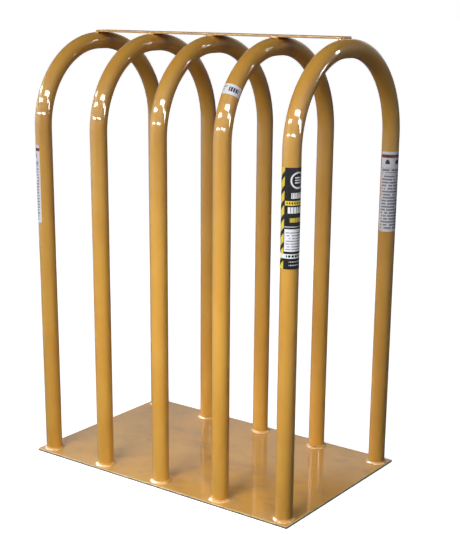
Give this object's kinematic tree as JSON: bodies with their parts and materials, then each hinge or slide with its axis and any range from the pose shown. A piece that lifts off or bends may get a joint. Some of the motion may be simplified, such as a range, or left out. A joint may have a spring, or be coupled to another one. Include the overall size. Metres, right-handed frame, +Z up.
{
  "type": "tyre inflation cage",
  "caption": "Welded steel cage that holds a truck wheel while its tyre is inflated: bent tube hoops in a row on a base plate, joined along their crowns by a flat tie bar.",
  "frame": {"origin": "on the floor, in the middle of the base plate's underside", "axes": "+Z up; X runs along the row of hoops, with hoop_5 and its labels at the +X end; -Y is the front"},
  "size_m": [0.964, 0.61, 1.3181],
  "materials": {
    "tube_paint": "gloss amber enamel on steel tube",
    "plate_paint": "gloss amber enamel on steel plate, scuffed",
    "bar_paint": "gloss amber enamel on flat bar",
    "weld_paint": "gloss amber enamel over weld beads",
    "black_label": "printed vinyl label, black with yellow and white blocks",
    "white_label": "printed vinyl label, white with grey rows and a red band"
  },
  "bodies": {
    "root": {"base_plate": "plate_paint", "tie_bar": "bar_paint", "hoop_1": "tube_paint", "hoop_2": "tube_paint", "hoop_3": "tube_paint", "hoop_4": "tube_paint", "hoop_5": "tube_paint", "foot_weld_front_1": "weld_paint", "foot_weld_front_2": "weld_paint", "foot_weld_front_3": "weld_paint", "foot_weld_front_4": "weld_paint", "foot_weld_front_5": "weld_paint", "foot_weld_rear_1": "weld_paint", "foot_weld_rear_2": "weld_paint", "foot_weld_rear_3": "weld_paint", "foot_weld_rear_4": "weld_paint", "foot_weld_rear_5": "weld_paint", "tie_bar_weld_1": "weld_paint", "tie_bar_weld_2": "weld_paint", "tie_bar_weld_3": "weld_paint", "tie_bar_weld_4": "weld_paint", "tie_bar_weld_5": "weld_paint", "product_label": "black_label", "warning_label_left": "white_label", "warning_label_right": "white_label", "id_label": "white_label"}
  },
  "joints": []
}
